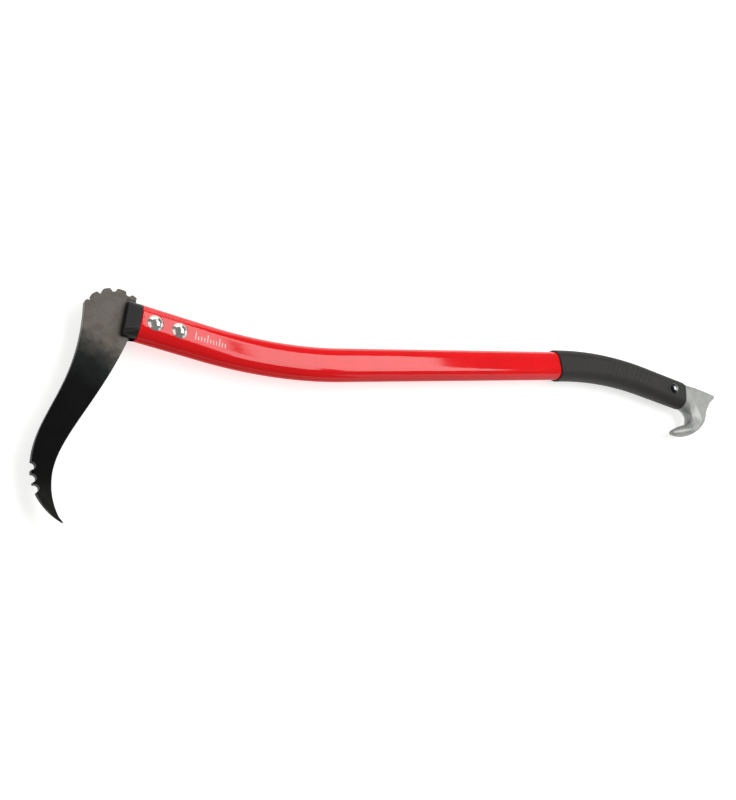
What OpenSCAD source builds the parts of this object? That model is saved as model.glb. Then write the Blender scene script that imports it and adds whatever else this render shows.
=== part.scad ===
// Pickaroon: a flat steel hook blade at the head of a bent flat-oval tube,
// a rubber grip, and a cast aluminium hook at the butt.
// The tool lies on its side: X runs along the straight middle of the handle
// from head to butt, Y points to the crown of the blade, Z is the thickness.

/* [Handle tube] */
// Height of the flat-oval tube, across its rounded edges
tube_h = 30; // [28:0.5:32]
// Thickness of the tube, across its two flats
tube_t = 20; // [19:0.5:22]
// Wall of the tube
tube_wall = 2; // [1.6:0.1:2.4]
// Length of the straight middle
mid_len = 271.5; // [200:0.5:400]
// Straight length at the head, from the bend to the tube's mouth
head_len = 53.5; // [52:0.5:90]
// Straight length at the butt, from the bend to the tube's end
butt_len = 64; // [60:0.5:110]
// Radius of both bends, to the centre line
bend_r = 450; // [400:10:500]
// Slope of the two straight ends against the middle, in 24: a 7 in 24 slope is 16.26 degrees
bend_rise = 7; // [6:0.5:8]

/* [Hook blade] */
// Thickness of the blade
blade_t = 7; // [6:0.5:8]
// Thickness of the tang, which leaves a shoulder where the plug ends
tang_t = 6.5; // [5:0.5:6.5]
// Height of the tang
tang_h = 22; // [18:1:23]
// Length of the tang inside the tube
tang_len = 41; // [36:1:48]
// Radius of the toothed crown
crown_r = 24.9; // [24.5:0.1:25.5]
// Depth of the gaps between the crown's teeth
crown_gap = 2.8; // [2:0.1:4]
// Radius of the three notches behind the point
barb_notch_r = 2.8; // [2.2:0.1:3]
// Length over which the blade thins to its point
point_len = 30; // [20:1:34]
// Thickness left at the point
point_t = 1.4; // [1:0.1:3]

/* [Head plug] */
// Length of the plug that shows in front of the tube
plug_nose = 11.5; // [10:0.5:12]
// Length of the plug inside the tube
plug_len = 42; // [42:1:50]
// How far the nose narrows at its crown side
nose_taper = 2.5; // [0:0.5:3]

/* [Fasteners] */
// Distance from the tube's mouth to the first blade fastener
bolt_first = 11; // [10:0.5:13]
// Distance between the two blade fasteners
bolt_pitch = 19.5; // [17:0.5:21]
// Distance from the tube's butt end to the butt fastener
butt_bolt = 21; // [18:0.5:26]
// Diameter of the domed heads
head_d = 12.7; // [11:0.1:14]
// Height of the domed heads
head_h = 3.2; // [2.8:0.1:3.6]
// Outer diameter of the threaded sleeve
sleeve_d = 8; // [7:0.5:9]
// Diameter of the screw's shank
screw_d = 5; // [4:0.5:5]
// Width across flats of the screw's hexagon socket
socket_af = 4; // [3:0.5:5]

/* [Grip] */
// Length of the rubber grip
grip_len = 200; // [180:1:210]
// Wall of the rubber grip
grip_wall = 1.6; // [1.2:0.1:2]

/* [Butt hook] */
// Thickness of the cast hook
hook_t = 17; // [14:0.5:19]
// Radius of the hook's rounded edges
hook_round = 3; // [2.5:0.5:4]
// Length of the collar that fairs the grip's section into the hook
collar_len = 22; // [16:1:24]
// Length of the spigot inside the tube
spigot_len = 40; // [34:1:50]

/* [Hidden] */
$fn = 64;
bore_gap = 0.3;       // fasteners pass freely through tube, plug, tang and spigot
spigot_gap = 0.2;     // spigot and plug slide into the tube with this all round
shoulder_gap = 0.4;   // blade shoulder stands this clear of the plug's nose
curve_steps = 24;
eps = 0.5;
nose_round = 4;
nose_inset = 0.4;     // the nose's end is this much thinner than the tube on each side
bore_h = tube_h - 2 * tube_wall;
bore_t = tube_t - 2 * tube_wall;
grip_h = tube_h + 2 * grip_wall;
grip_t = tube_t + 2 * grip_wall;
bend_deg = atan2(bend_rise, 24);
grip_straight = grip_len - butt_len - bend_r * bend_deg * PI / 180;
bolt_x = [bolt_first, bolt_first + bolt_pitch];
dome_r = (head_d * head_d / 4 + head_h * head_h) / (2 * head_h);
socket_deep = 1.8;
sleeve_short = 1;     // the sleeve ends this far inside the far face
sleeve_floor = 3;     // metal between the sleeve's bore and the nut's dome
thread_gap = 0.1;
shank_len = 14;

// Crown of the blade: teeth along an arc, in the head frame
crown_at = [-17, -3.3];
crown_from = 163;
crown_to = 55;
crown_gap_deg = [54, 76, 104, 129.5, 153.5];
crown_gap_half = 7.5; // from a gap's middle to where it ends, in degrees
crown_grow = 0.03;    // the crown's radius grows this much a degree past grow_from
grow_from = 138;

// Sweep of the blade, in the head frame: back, point and belly
back_curve = [[-41.3, 2.2], [-32.8, -61.4], [-58.4, -86.9], [-54.2, -121.8]];
inner_curve = [[-5, -15], [-17, -68], [-38.8, -99], [-39.1, -125.6]];
point_at = [-24.6, -160];
point_deg = -45;      // the way the point looks
inner_tip_at = [9.7, -125.6];
inner_tip_r = 48.8;
back_tip_at = [-9.7, -117.8];
back_tip_r = 44.6;
barb_deg = [190, 201, 210.5];
barb_deep = 3.1;
point_over = 2;       // the wedge runs this far past the point
blade_reach = 250;    // longer than the blade or the hook, for the wedges that thin them

// Cast hook, in the butt frame: throat, back of the horn, and heel
throat_curve = [[3, -14], [11.5, -15], [14.8, -23], [13.2, -29.5]];
belly_curve = [[13.2, -29.5], [11, -35], [-4, -40], [-18.4, -47.4]];
horn_curve = [[-18.4, -50.2], [-2, -55], [27, -43], [37.5, -15]];
heel_curve = [[37.5, -15], [39, -8], [47, -0.5], [60.5, 9.5]];
heel_x = 61.2;
hook_top = 15.8;
heel_trim = 0.1;      // how far the rounding draws the heel's corner in
horn_end = -20;
neck = [8, 36];       // the hook has its full thickness between these
thin_half = 2;        // half thickness at the horn's tip and the heel, before the rounding
collar_inset = 0.6;   // the collar starts this much inside the grip all round
collar_slim = 1;      // and ends this much inside the hook's flats
collar_slice = 2;

function bezier(c, t) =
    pow(1 - t, 3) * c[0] + 3 * pow(1 - t, 2) * t * c[1]
    + 3 * (1 - t) * t * t * c[2] + t * t * t * c[3];
function curve(c, n = curve_steps) = [for (i = [0 : n]) bezier(c, i / n)];
function arc(at, r, from, to, n) =
    [for (i = [0 : n]) let (a = from + (to - from) * i / n) at + r * [cos(a), sin(a)]];
// Depth of a gap at t of its half width: flat in the middle, with sloping flanks
function gap_depth(t) = abs(t) < 1 ? min(1, 1.6 * pow(cos(90 * t), 2)) : 0;
function crown_radius(a) =
    crown_r + crown_grow * max(0, a - grow_from)
    - crown_gap * max([for (g = crown_gap_deg) gap_depth((a - g) / crown_gap_half)]);
function crown_edge(n) =
    [for (i = [0 : n]) let (a = crown_from + (crown_to - crown_from) * i / n)
        crown_at + crown_radius(a) * [cos(a), sin(a)]];
function angle_to(at, p) = atan2(p.y - at.y, p.x - at.x) + 360;

// The blade's outline runs from the crown over the tang and belly to the point, then up the back
root_x = -4;
blade_outline = concat(
    crown_edge(112),
    [[root_x, tang_h / 2], [tang_len, tang_h / 2], [tang_len, -tang_h / 2], [root_x, -tang_h / 2]],
    curve(inner_curve),
    arc(inner_tip_at, inner_tip_r, 182, 223, 12),
    [point_at],
    arc(back_tip_at, back_tip_r, angle_to(back_tip_at, point_at) - 1, 186, 20),
    [for (i = [curve_steps : -1 : 1]) bezier(back_curve, i / curve_steps)]
);
hook_outline = concat(
    curve(throat_curve, 7), curve(belly_curve, 12), curve(horn_curve, 14), curve(heel_curve, 8),
    [[heel_x, 10.5], [heel_x, 14], [heel_x - 1.5, hook_top], [1, hook_top + 0.1]]
);

// Where the head and butt frames stand, and the shift that centres the tool on the origin
head_bend = [-bend_r * sin(bend_deg), bend_r * (1 - cos(bend_deg))];
butt_bend = [mid_len + bend_r * sin(bend_deg), -bend_r * (1 - cos(bend_deg))];
along = [cos(bend_deg), -sin(bend_deg)];
across = [sin(bend_deg), cos(bend_deg)];
function from_head(p) = head_bend + (p.x - head_len) * along + p.y * across;
function from_butt(p) = butt_bend + (p.x + butt_len) * along + p.y * across;
heel_core = [heel_x - hook_round - heel_trim, hook_top - hook_round];
heel_end = from_butt(heel_core).x + hook_round;
blade_x = [for (p = blade_outline) from_head(p).x];
blade_y = [for (p = blade_outline) from_head(p).y];
centre_x = (min(blade_x) + heel_end) / 2;
centre_y = (min(blade_y) + max(blade_y)) / 2;
// The tool lies on the rim of the butt screw's socket
socket_rim = sqrt(dome_r * dome_r - socket_af * socket_af / 4) - dome_r + head_h;
centre_z = grip_t / 2 + socket_rim;

module in_tool() translate([-centre_x, -centre_y, centre_z]) children();
module at_head()
    in_tool()
        translate([0, bend_r, 0])
            rotate(-bend_deg)
                translate([-head_len, -bend_r, 0])
                    children();
module at_butt()
    in_tool()
        translate([mid_len, -bend_r, 0])
            rotate(-bend_deg)
                translate([butt_len, bend_r, 0])
                    children();

// Flat-oval section: height along X, thickness along Y
module flat_oval(h, t) {
    square([h - t, t], center = true);
    for (side = [-1, 1])
        translate([side * (h - t) / 2, 0])
            circle(d = t);
}

// A section run along +X, with its height along Y
module run(from, to)
    translate([from, 0, 0])
        rotate([90, 0, 90])
            linear_extrude(to - from)
                children();

// A section carried round a bend whose centre is on the side given, +1 at the head, -1 at the butt:
// a ring, kept between the plane where the middle ends and the sloping plane of the straight end
module bend(side)
    translate([0, side * bend_r, 0])
        intersection() {
            rotate_extrude($fn = 360)
                translate([bend_r, 0])
                    children();
            bend_quarter(side, -side);
            rotate(-bend_deg)
                bend_quarter(side, side);
        }

// Quarter of space round a bend's centre that holds the tool, on one side of X = 0
module bend_quarter(side, half)
    translate([half > 0 ? 0 : -bend_r, side > 0 ? -2 * bend_r : 0, -tube_h])
        cube([bend_r, 2 * bend_r, 2 * tube_h]);

module tube_section()
    difference() {
        flat_oval(tube_h, tube_t);
        flat_oval(bore_h, bore_t);
    }

module grip_section()
    difference() {
        flat_oval(grip_h, grip_t);
        flat_oval(tube_h, tube_t);
    }

// Round hole along Z through everything at one place on the centre line
module cross_hole(d, x)
    translate([x, 0, 0])
        cylinder(h = 2 * tube_t, d = d, center = true);

module dome()
    intersection() {
        translate([0, 0, head_h - dome_r])
            sphere(dome_r);
        cylinder(h = head_h, d = head_d);
    }

// Domed nut with a threaded sleeve, its dome on the face at height z
module sleeve_nut(z)
    difference() {
        union() {
            translate([0, 0, z])
                dome();
            translate([0, 0, -z + sleeve_short])
                cylinder(h = 2 * z - sleeve_short, d = sleeve_d);
        }
        translate([0, 0, -z])
            cylinder(h = 2 * z - sleeve_floor, d = screw_d + thread_gap);
    }

// Button-head screw with a hexagon socket, its head on the face at height -z
module socket_screw(z)
    mirror([0, 0, 1])
        difference() {
            union() {
                translate([0, 0, z])
                    dome();
                translate([0, 0, z - shank_len])
                    cylinder(h = shank_len, d = screw_d);
            }
            translate([0, 0, z + head_h - socket_deep])
                cylinder(h = socket_deep + eps, d = socket_af / cos(30), $fn = 6);
        }

module blade_profile()
    difference() {
        polygon(blade_outline);
        for (a = barb_deg)
            translate(back_tip_at + (back_tip_r - barb_deep + barb_notch_r) * [cos(a), sin(a)])
                circle(barb_notch_r);
    }

// The block the tang and the plug's nose keep free of the full blade thickness
module shoulder_cut(side)
    translate([-plug_nose - shoulder_gap, -tube_h / 2 - shoulder_gap, side > 0 ? tang_t / 2 : -blade_t])
        cube([tang_len + plug_nose + 2, tube_h + 2 * shoulder_gap, blade_t - tang_t / 2]);

// Wedge that keeps the whole blade and thins it towards the point
module point_wedge()
    translate(point_at)
        rotate([90, 0, point_deg])
            linear_extrude(2 * blade_reach, center = true)
                polygon([
                    [-blade_reach, -blade_t], [-point_len, -blade_t / 2], [point_over, -point_t / 2],
                    [point_over, point_t / 2], [-point_len, blade_t / 2], [-blade_reach, blade_t]
                ]);

module hook_blade()
    color([0.2, 0.2, 0.19])
        at_head()
            difference() {
                intersection() {
                    linear_extrude(blade_t, center = true)
                        blade_profile();
                    point_wedge();
                }
                shoulder_cut(1);
                shoulder_cut(-1);
                for (x = bolt_x)
                    cross_hole(sleeve_d + bore_gap, x);
            }

// One cheek of the plug: a nose flush with the tube, and a tongue inside it
module plug_cheek(side)
    at_head()
        difference() {
            union() {
                plug_nose_block();
                run(-eps, plug_len)
                    flat_oval(bore_h - spigot_gap, bore_t - spigot_gap);
            }
            translate([-2 * plug_nose, -tube_h, side > 0 ? -tube_t + tang_t / 2 : -tang_t / 2])
                cube([plug_len + 3 * plug_nose, 2 * tube_h, tube_t]);
            for (x = bolt_x)
                cross_hole(sleeve_d + bore_gap, x);
        }

// The nose fairs the tube's oval into a squarer end that beds on the flat blade
module plug_nose_block()
    hull() {
        run(-eps, 0)
            flat_oval(tube_h, tube_t, $fn = 48);
        translate([-plug_nose, 0, 0])
            run(0, eps)
                for (v = [-tube_h / 2 + nose_round, tube_h / 2 - nose_taper - nose_round])
                    for (r = [-1, 1])
                        translate([v, r * (tube_t / 2 - nose_inset - nose_round)])
                            circle(nose_round, $fn = 24);
    }

module head_plug_front()
    color([0.14, 0.14, 0.13])
        plug_cheek(1);

module head_plug_back()
    color([0.14, 0.14, 0.13])
        plug_cheek(-1);

module handle_tube()
    color([0.9, 0.1, 0.12])
        difference() {
            union() {
                at_head()
                    run(0, head_len)
                        tube_section();
                in_tool() {
                    bend(1)
                        tube_section();
                    run(0, mid_len)
                        tube_section();
                    translate([mid_len, 0, 0])
                        bend(-1)
                            tube_section();
                }
                at_butt()
                    run(-butt_len, 0)
                        tube_section();
            }
            at_head()
                for (x = bolt_x)
                    cross_hole(sleeve_d + bore_gap, x);
            at_butt()
                cross_hole(sleeve_d + bore_gap, -butt_bolt);
        }

module blade_sleeve_nuts()
    color([0.85, 0.86, 0.87])
        at_head()
            for (x = bolt_x)
                translate([x, 0, 0])
                    sleeve_nut(tube_t / 2);

module blade_screws()
    color([0.75, 0.76, 0.77])
        at_head()
            for (x = bolt_x)
                translate([x, 0, 0])
                    socket_screw(tube_t / 2);

module grip_sleeve()
    color([0.24, 0.24, 0.22])
        difference() {
            union() {
                in_tool()
                    translate([mid_len, 0, 0]) {
                        run(-grip_straight, 0)
                            grip_section();
                        bend(-1)
                            grip_section();
                    }
                at_butt()
                    run(-butt_len, 0)
                        grip_section();
            }
            at_butt()
                cross_hole(sleeve_d + bore_gap, -butt_bolt);
        }

// Hook cast with rounded edges; the heel and the horn's tip are thinner than the neck
module cast_hook()
    minkowski() {
        intersection() {
            linear_extrude(hook_t - 2 * hook_round, center = true)
                offset(delta = -hook_round)
                    polygon(hook_outline);
            hook_thickness();
        }
        sphere(hook_round, $fn = 16);
    }

// Thickness of the hook seen from its throat: full at the neck, thin at tip and heel
module hook_thickness() {
    core = hook_t / 2 - hook_round;
    rotate([90, 0, 0])
        linear_extrude(2 * blade_reach, center = true)
            polygon([
                [horn_end, -thin_half], [neck[0], -core], [neck[1], -core], [heel_x, -thin_half],
                [heel_x, thin_half], [neck[1], core], [neck[0], core], [horn_end, thin_half]
            ]);
}

module hook_collar()
    hull() {
        run(0, collar_slice)
            flat_oval(grip_h - 2 * collar_inset, grip_t - 2 * collar_inset, $fn = 48);
        run(collar_len - collar_slice, collar_len)
            flat_oval(2 * hook_top, hook_t - 2 * collar_slim, $fn = 48);
    }

module butt_hook()
    color([0.68, 0.69, 0.68])
        at_butt()
            difference() {
                union() {
                    run(-spigot_len, eps)
                        flat_oval(bore_h - spigot_gap, bore_t - spigot_gap);
                    hook_collar();
                    cast_hook();
                }
                cross_hole(sleeve_d + bore_gap, -butt_bolt);
            }

module butt_sleeve_nut()
    color([0.85, 0.86, 0.87])
        at_butt()
            translate([-butt_bolt, 0, 0])
                sleeve_nut(grip_t / 2);

module butt_screw()
    color([0.75, 0.76, 0.77])
        at_butt()
            translate([-butt_bolt, 0, 0])
                socket_screw(grip_t / 2);

hook_blade();
head_plug_front();
head_plug_back();
handle_tube();
blade_sleeve_nuts();
blade_screws();
grip_sleeve();
butt_hook();
butt_sleeve_nut();
butt_screw();
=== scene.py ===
import math

import bmesh
import bpy
import numpy as np
from mathutils import Matrix, Vector


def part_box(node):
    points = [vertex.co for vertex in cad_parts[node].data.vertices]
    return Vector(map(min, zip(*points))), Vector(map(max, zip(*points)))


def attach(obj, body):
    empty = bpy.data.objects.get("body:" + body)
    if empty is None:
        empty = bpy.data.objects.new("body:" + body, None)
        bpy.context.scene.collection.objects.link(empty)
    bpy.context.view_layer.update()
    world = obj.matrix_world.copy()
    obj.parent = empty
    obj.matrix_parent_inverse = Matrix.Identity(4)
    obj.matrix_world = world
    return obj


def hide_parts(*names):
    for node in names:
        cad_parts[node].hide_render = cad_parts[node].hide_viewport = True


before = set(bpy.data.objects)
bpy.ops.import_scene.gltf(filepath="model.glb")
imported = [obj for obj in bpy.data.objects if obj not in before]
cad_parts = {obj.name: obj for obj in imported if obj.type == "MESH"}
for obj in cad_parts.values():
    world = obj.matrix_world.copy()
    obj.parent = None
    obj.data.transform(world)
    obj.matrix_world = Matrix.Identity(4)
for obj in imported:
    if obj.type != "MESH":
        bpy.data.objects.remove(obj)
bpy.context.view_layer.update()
mm = 0.001

# The tool's plan: a straight middle, a bend up to the head and a bend down to the butt
tool = {
    "bendRadius": 450 * mm, "bendAngle": math.atan2(7, 24),
    "midLength": 271.5 * mm, "headLength": 53.5 * mm, "buttLength": 64 * mm,
    "tubeHeight": 30 * mm, "tubeThick": 20 * mm, "tubeWall": 2 * mm,
    "buttBolt": 21 * mm, "headBolts": (11 * mm, 30.5 * mm), "sleeveHole": 8.3 * mm,
}
bendArc = tool["bendRadius"] * tool["bendAngle"]
midStart = tool["headLength"] + bendArc                    # distances from the tube's head mouth
buttBend = midStart + tool["midLength"]
tubeLength = buttBend + bendArc + tool["buttLength"]


def bendPoint(angle):  # a point on a bend down, its start at 0
    r = tool["bendRadius"]
    return Vector((r * math.sin(angle), -r * (1 - math.cos(angle)), 0))


def planPoint(s):  # place and heading on the centre line, s from the head mouth, middle's start at 0
    turn = tool["bendAngle"]
    onward = Vector((math.cos(turn), -math.sin(turn), 0))
    if s < tool["headLength"]:
        return (s - tool["headLength"]) * onward - bendPoint(turn), turn
    if s < midStart:
        angle = (midStart - s) / tool["bendRadius"]
        return -bendPoint(angle), angle
    if s < buttBend:
        return Vector((s - midStart, 0, 0)), 0.0
    middle = Vector((tool["midLength"], 0, 0))
    if s < buttBend + bendArc:
        angle = (s - buttBend) / tool["bendRadius"]
        return middle + bendPoint(angle), angle
    return middle + bendPoint(turn) + (s - buttBend - bendArc) * onward, turn


def boxCentre(node):
    low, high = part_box(node)
    return (low + high) / 2


tubeMiddle = boxCentre("handle_tube")
nutPlace = boxCentre("butt_sleeve_nut")
planOrigin = Vector((nutPlace.x, nutPlace.y, tubeMiddle.z)) - planPoint(tubeLength - tool["buttBolt"])[0]


def onTool(s, across, out):  # a point at s along the tool, across its height and out of its mid-plane
    place, angle = planPoint(s)
    return planOrigin + place + Vector((math.sin(angle), math.cos(angle), 0)) * across + Vector((0, 0, out))


def onButt(x, y, out):  # a point in the butt's own straight frame, x away from the head
    return onTool(tubeLength + x, y, out)


# Mesh helpers
def makePiece(name, points, faces, material, sharpAngle=35):
    mesh = bpy.data.meshes.new(name)
    mesh.from_pydata([tuple(p) for p in points], [], faces)
    piece = bpy.data.objects.new(name, mesh)
    bpy.context.scene.collection.objects.link(piece)
    return dress(piece, material, sharpAngle)


def dress(piece, material, sharpAngle=35):
    piece.data.materials.clear()
    piece.data.materials.append(material)
    cleaned = bmesh.new()
    cleaned.from_mesh(piece.data)
    bmesh.ops.recalc_face_normals(cleaned, faces=cleaned.faces)
    cleaned.to_mesh(piece.data)
    cleaned.free()
    piece.data.shade_smooth()
    piece.data.set_sharp_from_angle(angle=math.radians(sharpAngle))
    addModifier(piece, "WEIGHTED_NORMAL", keep_sharp=True, weight=60)   # flats stay flat beside round edges
    return piece


def loopFaces(ringCount, ringSize, closed=False):  # quads between rings of equal size
    last = ringCount if closed else ringCount - 1
    faces = []
    for i in range(last):
        a, b = i * ringSize, (i + 1) % ringCount * ringSize
        faces += [(a + j, a + (j + 1) % ringSize, b + (j + 1) % ringSize, b + j) for j in range(ringSize)]
    return faces


def settle(piece):  # applies the modifiers of a piece to its mesh
    graph = bpy.context.evaluated_depsgraph_get()
    graph.update()
    done = bpy.data.meshes.new_from_object(piece.evaluated_get(graph))
    old = piece.data
    piece.modifiers.clear()
    piece.data = done
    done.name = piece.name
    bpy.data.meshes.remove(old)
    return piece


def addModifier(piece, kind, **settings):
    modifier = piece.modifiers.new(kind.title(), kind)
    for key, value in settings.items():
        setattr(modifier, key, value)
    return modifier


drillLook = {"segments": 48, "reach": 60 * mm}


def drillAcross(piece, places, diameter):  # round holes along Z
    cutter = bpy.data.meshes.new("drill")
    shaped = bmesh.new()
    for place in places:
        bmesh.ops.create_cone(shaped, cap_ends=True, segments=drillLook["segments"], radius1=diameter / 2,
                              radius2=diameter / 2, depth=drillLook["reach"],
                              matrix=Matrix.Translation(place))
    shaped.to_mesh(cutter)
    shaped.free()
    drill = bpy.data.objects.new("drill", cutter)
    bpy.context.scene.collection.objects.link(drill)
    piece.modifiers.clear()
    addModifier(piece, "BOOLEAN", operation="DIFFERENCE", solver="EXACT", object=drill)
    settle(piece)
    bpy.data.objects.remove(drill)
    bpy.data.meshes.remove(cutter)
    return piece


edgeLook = {"segments": 3, "weld": 0.004 * mm, "flat": math.radians(0.6), "edge": math.radians(40)}


def bevelledCopy(node, name, width):  # a CAD solid's copy with its edges broken
    look = edgeLook
    piece = bpy.data.objects.new(name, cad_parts[node].data.copy())
    bpy.context.scene.collection.objects.link(piece)
    cleaned = bmesh.new()
    cleaned.from_mesh(piece.data)
    bmesh.ops.remove_doubles(cleaned, verts=cleaned.verts, dist=look["weld"])
    bmesh.ops.dissolve_limit(cleaned, angle_limit=look["flat"], verts=cleaned.verts, edges=cleaned.edges)
    cleaned.to_mesh(piece.data)
    cleaned.free()
    addModifier(piece, "BEVEL", width=width, segments=look["segments"], limit_method="ANGLE",
                angle_limit=look["edge"], use_clamp_overlap=False, miter_outer="MITER_ARC")
    return settle(piece)


# Material helpers
def srgb(code):  # an sRGB hex code as linear colour
    parts = [int(code[i:i + 2], 16) / 255 for i in (0, 2, 4)]
    return [c / 12.92 if c <= 0.04045 else ((c + 0.055) / 1.055) ** 2.4 for c in parts] + [1.0]


def perSize(sizeInMm):  # texture scale for a feature of this size, coordinates being metres
    return 1 / (sizeInMm * mm)


def addNode(tree, kind, settings, links=None):
    node = tree.nodes.new(kind)
    for key, value in settings.items():
        if key == "stops":
            ramp = node.color_ramp
            while len(ramp.elements) < len(value):
                ramp.elements.new(0.5)
            for element, (position, colour) in zip(ramp.elements, value):
                element.position = position
                element.color = colour
        elif key in node.inputs:
            node.inputs[key].default_value = value
        else:
            setattr(node, key, value)
    for key, source in (links or {}).items():
        tree.links.new(source, node.inputs[key])
    return node


def startMaterial(name):
    material = bpy.data.materials.new(name)
    material.use_nodes = True
    tree = material.node_tree
    tree.nodes.clear()
    place = addNode(tree, "ShaderNodeTexCoord", {}).outputs["Object"]
    return material, tree, place


def grey(value):
    return [value, value, value, 1.0]


def flatness(tree):  # 1 where a surface lies flat, 0 where it stands upright
    facing = addNode(tree, "ShaderNodeNewGeometry", {})
    split = addNode(tree, "ShaderNodeSeparateXYZ", {}, {"Vector": facing.outputs["Normal"]})
    return addNode(tree, "ShaderNodeMath", {"operation": "ABSOLUTE"}, {0: split.outputs["Z"]})


# The finest grains are drawn at 0.3 to 0.6 mm, coarser than real ones, so that they show up close
# The head's grey tones are a painted reflection: the face is drawn greyer at the head and fades to black
# down the blade
bladeSteel = {
    "grey": "6f6a64", "fadingReflection": "4a4946", "lastReflection": "212525", "black": "080a08", "tip": "2f312e",
    "stain": "b9a99a", "stainDepth": 0.55, "metallic": 0.3, "specular": 0.08, "roughness": (0.35, 0.52),
    "grainMm": 0.5, "mottleMm": 9, "stainMm": 14, "scratchMm": 0.35, "scratchStretch": 14,
    "fadeStart": (-38 * mm, -17 * mm), "fadeAcross": 0.95, "fadeAlong": 0.31,
    "fadeLong": 150 * mm, "fadeWander": 16 * mm,
}


def makeBladeSteel():  # black-oxided spring steel, oily black; drawn greyer at the head as a painted reflection, lighter towards the tip
    look = bladeSteel
    material, tree, place = startMaterial("blackOxideSpringSteel")
    along = onTool(0, 0, 0) - onTool(-1, 0, 0)
    across = onTool(0, 1, 0) - onTool(0, 0, 0)
    slant = across * look["fadeAcross"] + along * look["fadeAlong"]    # the fade slants over the blade
    start = onTool(*look["fadeStart"], 0)
    reach = addNode(tree, "ShaderNodeVectorMath", {"operation": "SUBTRACT"}, {0: place})
    reach.inputs[1].default_value = start
    down = addNode(tree, "ShaderNodeVectorMath", {"operation": "DOT_PRODUCT"}, {0: reach.outputs[0]})
    down.inputs[1].default_value = -slant
    mottle = addNode(tree, "ShaderNodeTexNoise",
                     {"Scale": perSize(look["mottleMm"]), "Detail": 5, "Roughness": 0.62},
                     {"Vector": place})
    wander = addNode(tree, "ShaderNodeMath", {"operation": "MULTIPLY_ADD"}, {0: mottle.outputs[0]})
    wander.inputs[1].default_value = look["fadeWander"]
    tree.links.new(down.outputs["Value"], wander.inputs[2])
    span = addNode(tree, "ShaderNodeMapRange",
                   {"From Min": 0, "From Max": look["fadeLong"]}, {"Value": wander.outputs[0]})
    # painted reflection: grey at the head fading to black, lighter again towards the tip
    tones = addNode(tree, "ShaderNodeValToRGB",
                    {"stops": [(0.05, srgb(look["grey"])), (0.11, srgb(look["fadingReflection"])),
                               (0.18, srgb(look["lastReflection"])), (0.32, srgb(look["black"])),
                               (0.78, srgb(look["black"])), (1.0, srgb(look["tip"]))]},
                    {"Fac": span.outputs[0]})
    stain = addNode(tree, "ShaderNodeTexNoise",
                    {"Scale": perSize(look["stainMm"]), "Detail": 6, "Roughness": 0.7, "Distortion": 0.6},
                    {"Vector": place})
    stainAmount = addNode(tree, "ShaderNodeValToRGB",
                          {"stops": [(0.42, grey(0)), (0.66, grey(look["stainDepth"]))]},
                          {"Fac": stain.outputs[0]})
    browned = addNode(tree, "ShaderNodeMix", {"data_type": "RGBA", "blend_type": "MULTIPLY"})
    tree.links.new(stainAmount.outputs[0], browned.inputs[0])
    tree.links.new(tones.outputs[0], browned.inputs[6])
    browned.inputs[7].default_value = srgb(look["stain"])
    speck = addNode(tree, "ShaderNodeTexNoise", {"Scale": perSize(look["grainMm"]), "Detail": 3},
                    {"Vector": place})
    stretched = addNode(tree, "ShaderNodeMapping", {"Scale": (1, look["scratchStretch"], 1)},
                        {"Vector": place})
    stretched.inputs["Rotation"].default_value = (0, 0, tool["bendAngle"])
    scratch = addNode(tree, "ShaderNodeTexNoise",
                      {"Scale": perSize(look["scratchMm"] * look["scratchStretch"]), "Detail": 2},
                      {"Vector": stretched.outputs[0]})
    rough = addNode(tree, "ShaderNodeMapRange",
                    {"From Min": 0.3, "From Max": 0.7, "To Min": look["roughness"][0],
                     "To Max": look["roughness"][1]}, {"Value": mottle.outputs[0]})
    relief = addNode(tree, "ShaderNodeMath", {"operation": "ADD"},
                     {0: speck.outputs[0], 1: scratch.outputs[0]})
    bump = addNode(tree, "ShaderNodeBump", {"Strength": 0.18, "Distance": 0.05 * mm},
                   {"Height": relief.outputs[0]})
    shader = addNode(tree, "ShaderNodeBsdfPrincipled",
                     {"Metallic": look["metallic"], "Specular IOR Level": look["specular"]},
                     {"Base Color": browned.outputs[2], "Roughness": rough.outputs[0],
                      "Normal": bump.outputs[0]})
    addNode(tree, "ShaderNodeOutputMaterial", {}, {"Surface": shader.outputs[0]})
    return material


plugNylon = {
    "colour": "191817", "dark": "171615", "specular": 0.28, "roughness": (0.35, 0.48), "ior": 1.53,
    "grainMm": 0.45, "cloudMm": 6,
}


def makePlugNylon():  # moulded nylon: satin black with a fine spark-eroded grain
    look = plugNylon
    material, tree, place = startMaterial("mouldedBlackNylon")
    grain = addNode(tree, "ShaderNodeTexNoise", {"Scale": perSize(look["grainMm"]), "Detail": 4},
                    {"Vector": place})
    cloud = addNode(tree, "ShaderNodeTexNoise", {"Scale": perSize(look["cloudMm"]), "Detail": 3},
                    {"Vector": place})
    tint = addNode(tree, "ShaderNodeValToRGB",
                   {"stops": [(0.3, srgb(look["dark"])), (0.7, srgb(look["colour"]))]},
                   {"Fac": cloud.outputs[0]})
    rough = addNode(tree, "ShaderNodeMapRange",
                    {"To Min": look["roughness"][0], "To Max": look["roughness"][1]},
                    {"Value": cloud.outputs[0]})
    bump = addNode(tree, "ShaderNodeBump", {"Strength": 0.25, "Distance": 0.04 * mm},
                   {"Height": grain.outputs[0]})
    shader = addNode(tree, "ShaderNodeBsdfPrincipled",
                     {"IOR": look["ior"], "Specular IOR Level": look["specular"]},
                     {"Base Color": tint.outputs[0], "Roughness": rough.outputs[0],
                      "Normal": bump.outputs[0]})
    addNode(tree, "ShaderNodeOutputMaterial", {}, {"Surface": shader.outputs[0]})
    return material


# side and sideSpecular are painted shade on the round sides: a deeper colour and less reflection there
redPaint = {
    "colour": "fb0611", "shade": "f2040e", "side": "d6d6d6", "roughness": (0.04, 0.1), "specular": 0.5,
    "sideSpecular": 0.06, "ior": 1.5, "cloudMm": 30, "peelMm": 1.6,
}


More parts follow.
